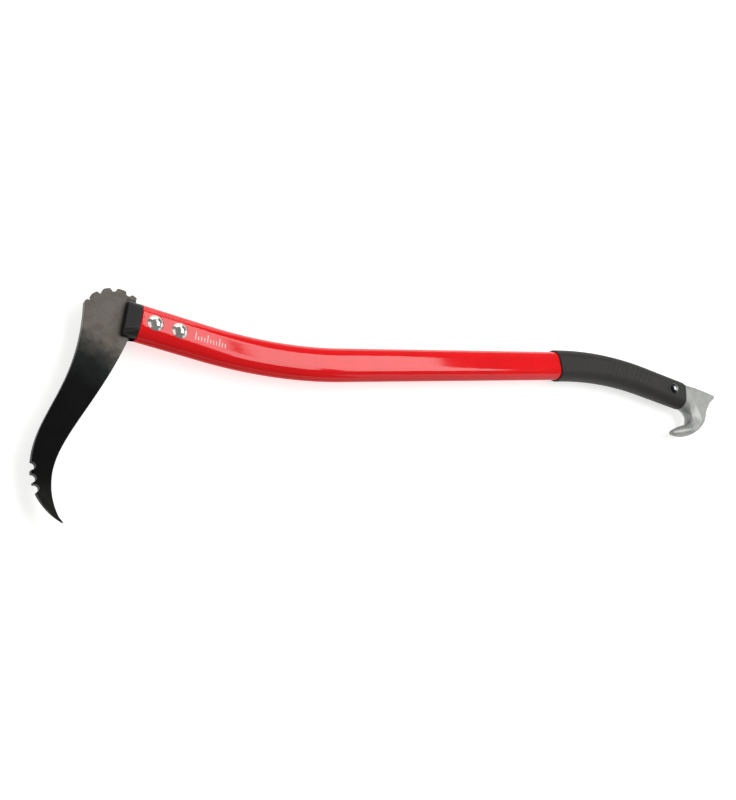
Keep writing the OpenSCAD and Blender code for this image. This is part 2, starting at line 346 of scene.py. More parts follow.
def makeRedPaint():  # baked powder coat: gloss red, a faint orange peel ripples its reflections
    look = redPaint
    material, tree, place = startMaterial("glossRedPowderCoat")
    cloud = addNode(tree, "ShaderNodeTexNoise", {"Scale": perSize(look["cloudMm"]), "Detail": 3},
                    {"Vector": place})
    tint = addNode(tree, "ShaderNodeValToRGB",
                   {"stops": [(0.3, srgb(look["shade"])), (0.65, srgb(look["colour"]))]},
                   {"Fac": cloud.outputs[0]})
    peel = addNode(tree, "ShaderNodeTexNoise", {"Scale": perSize(look["peelMm"]), "Detail": 1},
                   {"Vector": place})
    bump = addNode(tree, "ShaderNodeBump", {"Strength": 0.06, "Distance": 0.05 * mm},
                   {"Height": peel.outputs[0]})
    rough = addNode(tree, "ShaderNodeMapRange",
                    {"To Min": look["roughness"][0], "To Max": look["roughness"][1]},
                    {"Value": cloud.outputs[0]})
    flat = flatness(tree)            # painted shade: the round sides are drawn deeper red and less reflective than the flats
    sheen = addNode(tree, "ShaderNodeMapRange",
                    {"From Min": 0.3, "From Max": 0.8, "To Min": look["sideSpecular"],
                     "To Max": look["specular"]}, {"Value": flat.outputs[0]})
    depth = addNode(tree, "ShaderNodeValToRGB",
                    {"stops": [(0.35, srgb(look["side"])), (0.97, grey(1))]}, {"Fac": flat.outputs[0]})
    coat = addNode(tree, "ShaderNodeVectorMath", {"operation": "MULTIPLY"},
                   {0: tint.outputs[0], 1: depth.outputs[0]})
    shader = addNode(tree, "ShaderNodeBsdfPrincipled", {"IOR": look["ior"]},
                     {"Base Color": coat.outputs[0], "Roughness": rough.outputs[0],
                      "Specular IOR Level": sheen.outputs[0], "Normal": bump.outputs[0]})
    addNode(tree, "ShaderNodeOutputMaterial", {}, {"Surface": shader.outputs[0]})
    return material


# rim, rimUpTo and crownFrom paint shade on a dome's rim: darker towards its edge
nickelPlate = {
    "colour": "e2e1dd", "dull": "cfcdc8", "rim": "ffffff", "roughness": (0.14, 0.25), "wearMm": 2.5,
    "rimUpTo": 0.86, "crownFrom": 0.97,
}
# A darker copy of the same nickel: painted dark reflection, its rim darker still as painted shade
shadedNickelPlate = {
    "colour": "b4b6b6", "dull": "9a9c9c", "rim": "4a5255", "roughness": (0.17, 0.28), "wearMm": 2.5,
    "rimUpTo": 0.86, "crownFrom": 0.97,
}


def makeNickelPlate(name, look):  # nickel on steel: mirror-like, faint handling haze; its darker copy is painted dark reflection
    material, tree, place = startMaterial(name)
    haze = addNode(tree, "ShaderNodeTexNoise", {"Scale": perSize(look["wearMm"]), "Detail": 4},
                   {"Vector": place})
    rough = addNode(tree, "ShaderNodeMapRange",
                    {"From Min": 0.35, "From Max": 0.75, "To Min": look["roughness"][0],
                     "To Max": look["roughness"][1]}, {"Value": haze.outputs[0]})
    tint = addNode(tree, "ShaderNodeValToRGB",
                   {"stops": [(0.3, srgb(look["dull"])), (0.7, srgb(look["colour"]))]},
                   {"Fac": haze.outputs[0]})
    worn = addNode(tree, "ShaderNodeMapRange",
                   {"From Min": look["rimUpTo"], "From Max": look["crownFrom"]},
                   {"Value": flatness(tree).outputs[0]})        # painted shade: the rim is drawn darker than the crown
    rimShade = addNode(tree, "ShaderNodeValToRGB",
                     {"stops": [(0.0, srgb(look["rim"])), (1.0, grey(1))]}, {"Fac": worn.outputs[0]})
    platedWithRimShade = addNode(tree, "ShaderNodeVectorMath", {"operation": "MULTIPLY"},
                     {0: tint.outputs[0], 1: rimShade.outputs[0]})
    shader = addNode(tree, "ShaderNodeBsdfPrincipled", {"Metallic": 1.0},
                     {"Base Color": platedWithRimShade.outputs[0], "Roughness": rough.outputs[0]})
    addNode(tree, "ShaderNodeOutputMaterial", {}, {"Surface": shader.outputs[0]})
    return material


gripRubber = {
    "colour": "201f1b", "dusty": "2b2925", "specular": 0.3, "roughness": (0.47, 0.67), "ior": 1.52,
    "grainMm": 0.6, "dustMm": 12,
}


def makeGripRubber():  # moulded rubber: charcoal, soft sheen, a little dust held by its grain
    look = gripRubber
    material, tree, place = startMaterial("mouldedCharcoalRubber")
    dust = addNode(tree, "ShaderNodeTexNoise",
                   {"Scale": perSize(look["dustMm"]), "Detail": 6, "Roughness": 0.65}, {"Vector": place})
    tint = addNode(tree, "ShaderNodeValToRGB",
                   {"stops": [(0.35, srgb(look["colour"])), (0.72, srgb(look["dusty"]))]},
                   {"Fac": dust.outputs[0]})
    grain = addNode(tree, "ShaderNodeTexNoise", {"Scale": perSize(look["grainMm"]), "Detail": 4},
                    {"Vector": place})
    bump = addNode(tree, "ShaderNodeBump", {"Strength": 0.35, "Distance": 0.06 * mm},
                   {"Height": grain.outputs[0]})
    rough = addNode(tree, "ShaderNodeMapRange",
                    {"To Min": look["roughness"][0], "To Max": look["roughness"][1]},
                    {"Value": dust.outputs[0]})
    shader = addNode(tree, "ShaderNodeBsdfPrincipled",
                     {"IOR": look["ior"], "Specular IOR Level": look["specular"]},
                     {"Base Color": tint.outputs[0], "Roughness": rough.outputs[0],
                      "Normal": bump.outputs[0]})
    addNode(tree, "ShaderNodeOutputMaterial", {}, {"Surface": shader.outputs[0]})
    return material


# wall is painted shade: the casting's upright walls and rounded edges are drawn darker
castAlloy = {
    "colour": "b0b1ad", "dark": "9b9d9a", "wall": "8f918f", "metallic": 0.75, "roughness": (0.44, 0.58),
    "grainMm": 0.4, "cloudMm": 10,
}


def makeCastAlloy():  # aluminium casting, blasted then tumbled: satin, even grey, finely pitted
    look = castAlloy
    material, tree, place = startMaterial("tumbledCastAluminium")
    cloud = addNode(tree, "ShaderNodeTexNoise",
                    {"Scale": perSize(look["cloudMm"]), "Detail": 5, "Roughness": 0.6}, {"Vector": place})
    tint = addNode(tree, "ShaderNodeValToRGB",
                   {"stops": [(0.32, srgb(look["dark"])), (0.68, srgb(look["colour"]))]},
                   {"Fac": cloud.outputs[0]})
    unshadedFaces = addNode(tree, "ShaderNodeMapRange", {"From Min": 0.1, "From Max": 0.5},
                       {"Value": flatness(tree).outputs[0]})
    wallShadedTint = addNode(tree, "ShaderNodeMix", {"data_type": "RGBA"}, {0: unshadedFaces.outputs[0]})
    wallShadedTint.inputs[6].default_value = srgb(look["wall"])     # painted shade: the walls and rounded edges are drawn darker than the flat faces
    tree.links.new(tint.outputs[0], wallShadedTint.inputs[7])
    pits = addNode(tree, "ShaderNodeTexNoise", {"Scale": perSize(look["grainMm"]), "Detail": 3},
                   {"Vector": place})
    bump = addNode(tree, "ShaderNodeBump", {"Strength": 0.22, "Distance": 0.05 * mm},
                   {"Height": pits.outputs[0]})
    rough = addNode(tree, "ShaderNodeMapRange",
                    {"To Min": look["roughness"][0], "To Max": look["roughness"][1]},
                    {"Value": cloud.outputs[0]})
    shader = addNode(tree, "ShaderNodeBsdfPrincipled", {"Metallic": look["metallic"]},
                     {"Base Color": wallShadedTint.outputs[2], "Roughness": rough.outputs[0],
                      "Normal": bump.outputs[0]})
    addNode(tree, "ShaderNodeOutputMaterial", {}, {"Surface": shader.outputs[0]})
    return material


scaleInk = {"colour": "f4efe9", "worn": "e8c9c4", "roughness": 0.4, "ior": 1.48, "speckMm": 0.3}


def makeScaleInk():  # pad-printed white ink: thin, matt, slightly broken at its edges
    look = scaleInk
    material, tree, place = startMaterial("padPrintedWhiteInk")
    speck = addNode(tree, "ShaderNodeTexNoise", {"Scale": perSize(look["speckMm"]), "Detail": 2},
                    {"Vector": place})
    tint = addNode(tree, "ShaderNodeValToRGB",
                   {"stops": [(0.25, srgb(look["worn"])), (0.45, srgb(look["colour"]))]},
                   {"Fac": speck.outputs[0]})
    shader = addNode(tree, "ShaderNodeBsdfPrincipled", {"Roughness": look["roughness"], "IOR": look["ior"]},
                     {"Base Color": tint.outputs[0]})
    addNode(tree, "ShaderNodeOutputMaterial", {}, {"Surface": shader.outputs[0]})
    return material


steel = makeBladeSteel()
nylon = makePlugNylon()
paint = makeRedPaint()
nickel = makeNickelPlate("brightNickelPlate", nickelPlate)
shadedNickel = makeNickelPlate("shadedNickelPlate", shadedNickelPlate)    # a darker copy for the pair at the butt: painted dark reflection
rubber = makeGripRubber()
alloy = makeCastAlloy()
ink = makeScaleInk()
print("materials ready")


# Sections across the tool: (across, out) pairs of a flat oval
def ovalSection(height, thick, flatSteps, roundSteps):
    half, radius = (height - thick) / 2, thick / 2
    points = []
    for side in (1, -1):
        points += [(side * half * (2 * k / flatSteps - 1), side * radius) for k in range(flatSteps)]
        for k in range(roundSteps):
            a = math.pi * k / roundSteps
            points.append((side * (half + radius * math.sin(a)), side * radius * math.cos(a)))
    return points


def sweepRings(stations):  # each station is a distance along the tool and its section
    return [onTool(s, across, out) for s, section in stations for across, out in section]


# Hook blade: the steel plate with its sheared edges broken
bladeLook = {"edgeBreak": 0.55 * mm, "sharpAngle": 32}
blade = bevelledCopy("hook_blade", "hookBlade", bladeLook["edgeBreak"])
dress(blade, steel, bladeLook["sharpAngle"])
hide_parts("hook_blade")
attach(blade, "root")
print("blade ready")

# Head plug: two moulded cheeks
plugLook = {"edgeRound": 0.5 * mm, "sharpAngle": 30}
for node, name in (("head_plug_front", "headPlugFront"), ("head_plug_back", "headPlugBack")):
    cheek = dress(bevelledCopy(node, name, plugLook["edgeRound"]), nylon, plugLook["sharpAngle"])
    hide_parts(node)
    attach(cheek, "root")
print("plug ready")

# Handle tube: one drawn oval, its mouths slightly rolled in
tubeLook = {"lip": 0.6 * mm, "lipSteps": 4, "step": 4 * mm, "flatSteps": 8, "roundSteps": 30}


def tubeOval(inset):
    return ovalSection(tool["tubeHeight"] - 2 * inset, tool["tubeThick"] - 2 * inset,
                       tubeLook["flatSteps"], tubeLook["roundSteps"])


def makeTube():
    look = tubeLook
    turns = [math.pi / 2 * k / look["lipSteps"] for k in range(look["lipSteps"] + 1)]
    lip = [(look["lip"] * (1 - math.sin(a)), look["lip"] * (1 - math.cos(a))) for a in turns]  # along, in
    count = round((tubeLength - 2 * look["lip"]) / look["step"])
    outer = [look["lip"] + (tubeLength - 2 * look["lip"]) * k / count for k in range(1, count)]
    stations = [(a, tubeOval(b)) for a, b in reversed(lip)]
    stations += [(s, tubeOval(0)) for s in outer]
    stations += [(tubeLength - a, tubeOval(b)) for a, b in lip]
    wall = tool["tubeWall"]
    stations += [(s, tubeOval(wall)) for s in [tubeLength] + outer[::-1] + [0]]
    ringSize = 2 * (look["flatSteps"] + look["roundSteps"])
    return makePiece("handleTube", sweepRings(stations), loopFaces(len(stations), ringSize, True), paint)


tube = makeTube()
boltPlaces = [onTool(s, 0, 0) for s in tool["headBolts"]]
buttPlace = onTool(tubeLength - tool["buttBolt"], 0, 0)
drillAcross(tube, boltPlaces + [buttPlace], tool["sleeveHole"])
dress(tube, paint)
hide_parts("handle_tube")
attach(tube, "root")
print("tube ready")

# Printed scale: a plain tick each 2.5 mm and a longer one each centimetre, thin as ink
scaleLook = {
    "from": 43.5 * mm, "pitch": 2.5 * mm, "count": 11, "longEach": 4, "long": 6.4 * mm, "short": 3.4 * mm,
    "wide": 0.7 * mm, "thick": 0.06 * mm, "base": -3.2 * mm,
}


def makeScale():
    look = scaleLook
    low = tool["tubeThick"] / 2 - look["thick"]
    high = tool["tubeThick"] / 2 + look["thick"] / 2
    points, faces = [], []
    for k in range(look["count"]):
        middle = look["from"] + k * look["pitch"]
        bottom = look["base"]
        top = bottom + (look["long"] if k % look["longEach"] == 0 else look["short"])
        first = len(points)
        for s in (middle - look["wide"] / 2, middle + look["wide"] / 2):
            corners = ((bottom, low), (bottom, high), (top, high), (top, low))
            points += [onTool(s, across, out) for across, out in corners]
        ends = [(0, 1, 2, 3), (4, 7, 6, 5)]
        faces += [tuple(first + i for i in face) for face in loopFaces(2, 4) + ends]
    return makePiece("printedScale", points, faces, ink)


scalePrint = makeScale()
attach(scalePrint, "root")
print("scale ready")

# Grip: a moulded rubber sleeve with a rolled mouth, moulding seams and slanted anti-slip ribs
gripLook = {
    "length": 200 * mm, "wall": 1.6 * mm, "mouthRound": 1.1 * mm, "endRound": 0.7 * mm, "roundSteps": 5,
    "coarse": 3 * mm, "fine": 0.4 * mm, "faceReach": 9.5 * mm, "edgeStep": 1.3 * mm, "innerSteps": 40,
    "ribsFrom": -131 * mm, "ribsTo": -57 * mm, "ribMargin": 5 * mm, "ribsAbove": 4 * mm,
    "ribPitch": 7.4 * mm, "ribRows": (-6.2 * mm, 0.0, 6.2 * mm), "ribLong": 4.6 * mm, "ribWide": 1.7 * mm,
    "ribHigh": 0.42 * mm, "ribSteep": 2.2, "ribSlant": math.radians(32),
    "seamHigh": 0.12 * mm, "seamWide": 0.9 * mm, "sharpAngle": 50,
}


def ribHeight(x, w):  # x along the butt frame, w across the face from its middle
    look = gripLook
    best = 0.0
    for row, centre in enumerate(look["ribRows"]):
        shift = look["ribPitch"] / 2 * (row % 2)
        k = round((x - look["ribsFrom"] - shift) / look["ribPitch"])
        at = look["ribsFrom"] + shift + k * look["ribPitch"]
        if not look["ribsFrom"] - mm < at < look["ribsTo"] + mm:
            continue
        dx, dw = x - at, w - centre
        lengthwise = dw * math.cos(look["ribSlant"]) + dx * math.sin(look["ribSlant"])
        sideways = dx * math.cos(look["ribSlant"]) - dw * math.sin(look["ribSlant"])
        past = max(0.0, abs(lengthwise) - (look["ribLong"] - look["ribWide"]) / 2)
        away = math.hypot(past, sideways) / (look["ribWide"] / 2)
        if away < 1:
            best = max(best, look["ribHigh"] * min(1.0, look["ribSteep"] * (1 - away)))
    return best


def gripSection():  # points of the sleeve's outside: across, out, their normal, and place on the face
    look = gripLook
    height, thick = tool["tubeHeight"] + 2 * look["wall"], tool["tubeThick"] + 2 * look["wall"]
    half, radius = (height - thick) / 2, thick / 2
    reach = look["faceReach"]
    rest = half + math.pi * radius / 2 - reach           # what is left up to the rounded edge's middle
    fineCount = round(reach / look["fine"])
    coarseCount = round(rest / look["edgeStep"])
    quarter = [reach * k / fineCount for k in range(fineCount)]
    quarter += [reach + rest * k / coarseCount for k in range(coarseCount)]
    places = []
    for w in quarter:
        if w < half:
            places.append((w, radius, 0.0, 1.0, w))
        else:
            a = (w - half) / radius
            places.append((half + radius * math.sin(a), radius * math.cos(a), math.sin(a), math.cos(a), w))
    edge = (half + radius, 0.0, 1.0, 0.0, reach + rest)
    oneSide = places + [edge] + [(v, -z, nv, -nz, w) for v, z, nv, nz, w in reversed(places[1:])]
    otherSide = [(-v, z, -nv, nz, -w) for v, z, nv, nz, w in reversed(oneSide)]
    return oneSide + [(0.0, -radius, 0.0, -1.0, 0.0)] + otherSide[:-1]


def makeGrip():
    look = gripLook
    section = gripSection()
    start, end = tubeLength - look["length"], tubeLength
    radius, steps = look["mouthRound"], look["roundSteps"]
    stations = [(start + radius * (1 - math.cos(math.pi / 2 * k / steps)),
                 radius * (1 - math.sin(math.pi / 2 * k / steps))) for k in range(steps + 1)]
    ribs0 = end + look["ribsFrom"] - look["ribMargin"]
    ribs1 = end + look["ribsTo"] + look["ribMargin"]

    def stretch(s0, s1, step):
        count = max(1, round((s1 - s0) / step))
        return [s0 + (s1 - s0) * k / count for k in range(1, count + 1)]

    along = stretch(start + radius, ribs0, look["coarse"]) + stretch(ribs0, ribs1, look["fine"])
    along += stretch(ribs1, end - look["endRound"], look["coarse"])
    stations += [(s, 0.0) for s in along]
    stations += [(end - look["endRound"] * (1 - math.sin(math.pi / 2 * k / steps)),
                  look["endRound"] * (1 - math.cos(math.pi / 2 * k / steps))) for k in range(1, steps + 1)]
    points = []
    for s, inset in stations:
        x = s - end
        ribbed = ribs0 < s < ribs1
        for v, z, nv, nz, w in section:
            lift = ribHeight(x, w) if ribbed and abs(z) > look["ribsAbove"] else 0.0
            seam = max(0.0, 1 - abs(z) / (look["seamWide"] / 2)) * look["seamHigh"]
            rise = lift + (seam if inset == 0 else 0.0) - inset
            points.append(onTool(s, v + nv * rise, z + nz * rise))
    for k in range(look["innerSteps"] + 1):                 # the inside, which lies on the tube
        s = end - look["length"] * k / look["innerSteps"]
        points += [onTool(s, v - nv * look["wall"], z - nz * look["wall"]) for v, z, nv, nz, w in section]
    faces = loopFaces(len(points) // len(section), len(section), True)
    return makePiece("gripSleeve", points, faces, rubber, look["sharpAngle"])


grip = makeGrip()
drillAcross(grip, [buttPlace], tool["sleeveHole"])
dress(grip, rubber, gripLook["sharpAngle"])
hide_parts("grip_sleeve")
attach(grip, "root")
print("grip ready")

# Fasteners: domed sleeve nuts on the near side, hexagon-socket screws on the far side
fastenerLook = {
    "headWide": 12.7 * mm, "headHigh": 3.2 * mm, "rim": 0.45 * mm, "domeSteps": 20, "around": 96,
    "sleeve": 8 * mm, "sleeveShort": 1 * mm, "sleeveBreak": 0.4 * mm, "bore": 5.1 * mm, "boreEnd": 3 * mm,
    "shank": 5 * mm, "shankLong": 14 * mm, "shankBreak": 0.5 * mm, "socket": 4 * mm, "socketDeep": 1.8 * mm,
    "socketCone": 0.3 * mm, "socketLand": 1.25, "socketLip": 0.12 * mm, "socketSharp": 30,
}


def domeProfile(look):  # radius and height of the head from its rim to its crown
    wide, high, rim = look["headWide"] / 2, look["headHigh"], look["rim"]
    ball = (wide * wide + high * high) / (2 * high)
    lower = math.asin((wide - rim / 4) / ball)
    turns = [lower * (1 - k / look["domeSteps"]) for k in range(look["domeSteps"] + 1)]
    dome = [(ball * math.sin(a), high - ball + ball * math.cos(a)) for a in turns]
    return [(wide - rim / 2, 0.0), (wide - rim / 8, rim / 3)] + [p for p in dome if p[1] > rim / 2]


def latheRings(profile, around):
    return [[(r * math.cos(2 * math.pi * j / around), r * math.sin(2 * math.pi * j / around), h)
             for j in range(around)] for r, h in profile]


def makeSleeveNut(name, place, face, plate):  # its dome on the face at height face above the mid-plane
    look = fastenerLook
    dome = domeProfile(look)
    crown = [(r, face + h) for r, h in dome[:-1]]
    bore, sleeve = look["bore"] / 2, look["sleeve"] / 2
    mouth, boreEnd = look["sleeveShort"] - face, face - look["boreEnd"]
    body = [(bore, boreEnd), (bore, mouth), (sleeve - look["sleeveBreak"], mouth),
            (sleeve, mouth + look["sleeveBreak"]), (sleeve, face)]
    rings = latheRings(body + crown, look["around"])
    points = [place + Vector(p) for ring in rings for p in ring]
    faces = loopFaces(len(rings), look["around"])
    top, floor = len(points), len(points) + 1
    points += [place + Vector((0, 0, face + look["headHigh"])), place + Vector((0, 0, boreEnd))]
    lastRing = (len(rings) - 1) * look["around"]
    for j in range(look["around"]):
        k = (j + 1) % look["around"]
        faces.append((lastRing + j, lastRing + k, top))
        faces.append((k, j, floor))
    return makePiece(name, points, faces, plate)


def makeScrew(name, place, face, plate):  # its dome on the far side, face below the mid-plane
    look = fastenerLook
    across, shank = look["socket"] / 2, look["shank"] / 2
    around = look["around"]

    def hexRing(height):
        ring = []
        for j in range(around):
            a = 2 * math.pi * j / around
            reach = across / math.cos((a + math.pi / 6) % (math.pi / 3) - math.pi / 6)
            ring.append((reach * math.cos(a), reach * math.sin(a), height))
        return ring

    outside = [(r, face + h) for r, h in domeProfile(look) if r > across * look["socketLand"]]
    shankEnd = face - look["shankLong"]
    body = [(shank - look["shankBreak"], shankEnd), (shank, shankEnd + look["shankBreak"]), (shank, face)]
    rings = latheRings(body + outside, around)
    socketFloor = face + look["headHigh"] - look["socketDeep"]
    rings += [hexRing(outside[-1][1] + look["socketLip"]), hexRing(socketFloor)]
    points = [place + Vector((x, y, -z)) for ring in rings for x, y, z in ring]
    faces = loopFaces(len(rings), around)
    end, floor = len(points), len(points) + 1
    points += [place + Vector((0, 0, -shankEnd)),
               place + Vector((0, 0, look["socketCone"] - socketFloor))]
    lastRing = (len(rings) - 1) * around
    for j in range(around):
        k = (j + 1) % around
        faces.append((k, j, end))
        faces.append((lastRing + j, lastRing + k, floor))
    return makePiece(name, points, faces, plate, look["socketSharp"])


gripFace = tool["tubeThick"] / 2 + gripLook["wall"]
fasteners = [
    ("headNutOuter", "headScrewOuter", boltPlaces[0], tool["tubeThick"] / 2, "blade"),
    ("headNutInner", "headScrewInner", boltPlaces[1], tool["tubeThick"] / 2, "blade"),
    ("buttNut", "buttScrew", buttPlace, gripFace, "butt"),
]
for nutName, screwName, place, face, where in fasteners:
    plate = nickel if where == "blade" else shadedNickel
    nut = makeSleeveNut(nutName, place, face, plate)
    screw = makeScrew(screwName, place, face, plate)
    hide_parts("blade_sleeve_nuts" if where == "blade" else "butt_sleeve_nut")
    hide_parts("blade_screws" if where == "blade" else "butt_screw")
    for part in (nut, screw):
        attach(part, "root")
print("fasteners ready")

# Butt hook: one casting, lofted from the collar's oval round the throat to the horn's tip
hookLook = {                                               # in mm, in the butt's frame
    "collarHalf": 15.9, "collarOut": 11.0, "collarLong": 20, "plateOut": 8.4, "heelOut": 5.4, "tipOut": 4.8,
    "throatWall": 4.6, "wallShare": 0.6, "slopeLong": 14, "hornRound": 4.2, "edgeRound": 2.2,
    "hornBackRound": 3.6, "heelX": 60.3, "topY": 15.9, "cornerRound": 1.1, "tipLong": 2.0,
    "spigotLong": 40, "spigotGap": 0.1, "spigotBreak": 1.0, "sections": 170, "acrossSteps": 48,
    "cornerSteps": 6, "tipSteps": 5, "tipOnward": (-0.93, -0.36), "curveSteps": 60, "leastStep": 0.02,
    "hornFrom": 24, "hornLong": 16, "heelFrom": 34, "heelLong": 27, "tipFrom": 22, "tipReach": 38,
    "hornShare": 0.9, "shareFrom": 20, "shareLong": 12, "land": 1, "sharpAngle": 60,
    "top": [(0, 15.9), (6, 15.4), (14, 14.7), (34, 14.7)],
    "throat": [[(0, -15.9), (8.5, -15.9), (14.6, -21.5), (13.2, -29.5)],
               [(13.2, -29.5), (11.6, -34.2), (2.5, -34), (-15.5, -46.0)]],
    "heel": [[(60.3, 10.4), (52, 4.8), (42.5, -6), (39.4, -16)],
             [(39.4, -16), (32.5, -42), (4, -52.4), (-15.5, -51.9)]],
    # Shares of the throat's and of the back's length that face each other
    "pairs": [(0.0, 0.0), (0.1, 0.13), (0.2, 0.33), (0.26, 0.375), (0.42, 0.55), (0.62, 0.74), (1.0, 1.0)],
}


def bezier(c, t):
    c = [Vector(p) for p in c]
    return (1 - t) ** 3 * c[0] + 3 * (1 - t) ** 2 * t * c[1] + 3 * (1 - t) * t * t * c[2] + t ** 3 * c[3]


def pathOf(curves, lines):  # a dense 2D path from straight runs followed by curves
    steps = hookLook["curveSteps"]
    path = [Vector(p) for p in lines]
    for c in curves:
        path += [bezier(c, k / steps) for k in range(steps + 1)]
    kept = [path[0]]
    for p in path[1:]:
        if (p - kept[-1]).length > hookLook["leastStep"]:
            kept.append(p)
    return kept


def alongPath(path, fraction):  # the point at this share of a path's length
    lengths = [0.0]
    for a, b in zip(path, path[1:]):
        lengths.append(lengths[-1] + (b - a).length)
    want = fraction * lengths[-1]
    for i in range(len(path) - 1):
        if lengths[i + 1] >= want:
            t = (want - lengths[i]) / (lengths[i + 1] - lengths[i])
            return path[i].lerp(path[i + 1], t)
    return path[-1]


def ease(t):  # 0 to 1 with a level start and end
    t = min(1.0, max(0.0, t))
    return t * t * (3 - 2 * t)


def reachTo(path, at):  # distance from a point to a 2D path
    starts, ends = path[:-1], path[1:]
    runs = ends - starts
    t = np.clip(((at - starts) * runs).sum(1) / (runs ** 2).sum(1), 0, 1)
    return float(np.sqrt((((starts + runs * t[:, None]) - at) ** 2).sum(1).min()))


def mix(a, b, t):
    return a + (b - a) * t


def roundOver(distance, radius):  # from 0 at an edge to 1 where its rounding ends
    left = 1 - min(1.0, distance / radius)
    return math.sqrt(max(0.0, 1 - left * left))


def castingHeight(at, inner, outer):  # half thickness of the casting at a place in the butt frame, in mm
    look = hookLook
    x, y = at
    horn = ease((-y - look["hornFrom"]) / look["hornLong"])    # 0 at the neck, 1 on the horn
    collar = 1 - ease(x / look["collarLong"])                  # 1 at the grip, 0 where the plate begins
    cap = mix(look["plateOut"], look["collarOut"], collar)
    heel = max(0.0, x - look["heelFrom"]) / look["heelLong"]
    cap += (look["heelOut"] - look["plateOut"]) * heel * (1 - horn)
    cap += (look["tipOut"] - look["plateOut"]) * ease((look["tipFrom"] - x) / look["tipReach"]) * horn
    wall = mix(mix(look["throatWall"], look["hornRound"], horn), look["collarOut"], collar)
    edge = mix(mix(look["edgeRound"], look["hornBackRound"], horn), look["collarOut"], collar)
    far = reachTo(inner, at)
    share = mix(look["wallShare"], look["hornShare"], ease((-y - look["shareFrom"]) / look["shareLong"]))
    share = mix(share, 1.0, collar)
    slope = share + (1 - share) * min(1.0, max(0.0, far - look["land"]) / look["slopeLong"])
    return cap * roundOver(far, wall) * slope * roundOver(reachTo(outer, at), edge)


def makeHook():
    look = hookLook
    inner = pathOf(look["throat"], [])
    r = look["cornerRound"]
    corner = [(look["heelX"] - r * (1 - math.sin(a)), look["topY"] - r * (1 - math.cos(a)))
              for a in [math.pi / 2 * k / look["cornerSteps"] for k in range(look["cornerSteps"] + 1)]]
    outer = pathOf(look["heel"], look["top"] + corner)
    innerArray, outerArray = np.array([tuple(p) for p in inner]), np.array([tuple(p) for p in outer])
    points = []
    pairs, count, across = look["pairs"], look["sections"], look["acrossSteps"]
    for i in range(count + 1):
        position = i / count * (len(pairs) - 1)
        k = min(int(position), len(pairs) - 2)
        t = position - k
        near = alongPath(inner, mix(pairs[k][0], pairs[k + 1][0], t))
        far = alongPath(outer, mix(pairs[k][1], pairs[k + 1][1], t))
        ring = []
        for j in range(across + 1):
            w = 0.5 - 0.5 * math.cos(math.pi * j / across)  # closer together at both edges
            at = near.lerp(far, w)
            out = castingHeight(np.array(at), innerArray, outerArray) if 0 < j < across else 0.0
            ring.append((at.x, at.y, out))
        points += ring + [(x, y, -z) for x, y, z in reversed(ring[1:-1])]
    ringSize = 2 * across
    faces = loopFaces(count + 1, ringSize)
    # The horn's tip closes in shrinking rings
    last = [Vector(p) for p in points[-ringSize:]]
    tip = sum(last, Vector((0, 0, 0))) / ringSize
    onward = Vector((*look["tipOnward"], 0)) * look["tipLong"]
    base = count * ringSize
    for k in range(1, look["tipSteps"]):
        a = math.pi / 2 * k / look["tipSteps"]
        points += [tuple(tip + (p - tip) * math.cos(a) + onward * math.sin(a)) for p in last]
        faces += [tuple(base + v for v in face) for face in loopFaces(2, ringSize)]
        base += ringSize
    points.append(tuple(tip + onward))
    faces += [(base + j, base + (j + 1) % ringSize, len(points) - 1) for j in range(ringSize)]
    # The spigot that fills the tube's end
    gap = tool["tubeWall"] / mm + look["spigotGap"]
    first = points[:ringSize]
    spigot = len(points)
    spigotEnd, chamfer = -look["spigotLong"], look["spigotBreak"]
    for x, inset in ((0.0, 0.0), (spigotEnd + chamfer, 0.0), (spigotEnd, chamfer)):
        height = tool["tubeHeight"] / mm - 2 * gap - 2 * inset
        thick = tool["tubeThick"] / mm - 2 * gap - 2 * inset
        half = (height - thick) / 2
        for _, py, pz in first:
            y = py * (height / 2) / look["collarHalf"]
            middle = max(-half, min(half, y))
            away = math.hypot(y - middle, pz) or 1.0
            points.append((x, middle + (y - middle) / away * thick / 2, pz / away * thick / 2))
    faces += [(j, spigot + j, spigot + (j + 1) % ringSize, (j + 1) % ringSize) for j in range(ringSize)]
    faces += [tuple(spigot + v for v in face) for face in loopFaces(3, ringSize)]
    points.append((spigotEnd, 0.0, 0.0))
    end = spigot + 2 * ringSize
    faces += [(end + (j + 1) % ringSize, end + j, len(points) - 1) for j in range(ringSize)]
    placed = [onButt(x * mm, y * mm, z * mm) for x, y, z in points]
    return makePiece("buttHook", placed, faces, alloy, look["sharpAngle"])


hook = makeHook()
drillAcross(hook, [buttPlace], tool["sleeveHole"])
dress(hook, alloy, hookLook["sharpAngle"])
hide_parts("butt_hook")
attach(hook, "root")
print("hook ready")

# The camera, at the photograph's place: over the head, looking down along the handle
cameraPlace = {
    "at": Vector((-404.7, -187.7, 603.2)) * mm,           # from the middle's start on the centre line
    "right": Vector((0.824532, -0.165122, 0.541186)), "up": Vector((0.020137, 0.964428, 0.263577)),
    "lens": 42.14, "sensor": 36, "farthest": 20,
}
cameraData = bpy.data.cameras.new("photoCamera")
cameraData.lens = cameraPlace["lens"]
cameraData.sensor_width = cameraPlace["sensor"]
cameraData.sensor_fit = "HORIZONTAL"
cameraData.clip_end = cameraPlace["farthest"]
camera = bpy.data.objects.new("photoCamera", cameraData)
bpy.context.scene.collection.objects.link(camera)
backward = cameraPlace["right"].cross(cameraPlace["up"]).normalized()
turned = Matrix((cameraPlace["right"], cameraPlace["up"], backward)).transposed()
camera.matrix_world = Matrix.Translation(planOrigin + cameraPlace["at"]) @ turned.to_4x4()
bpy.context.scene.camera = camera

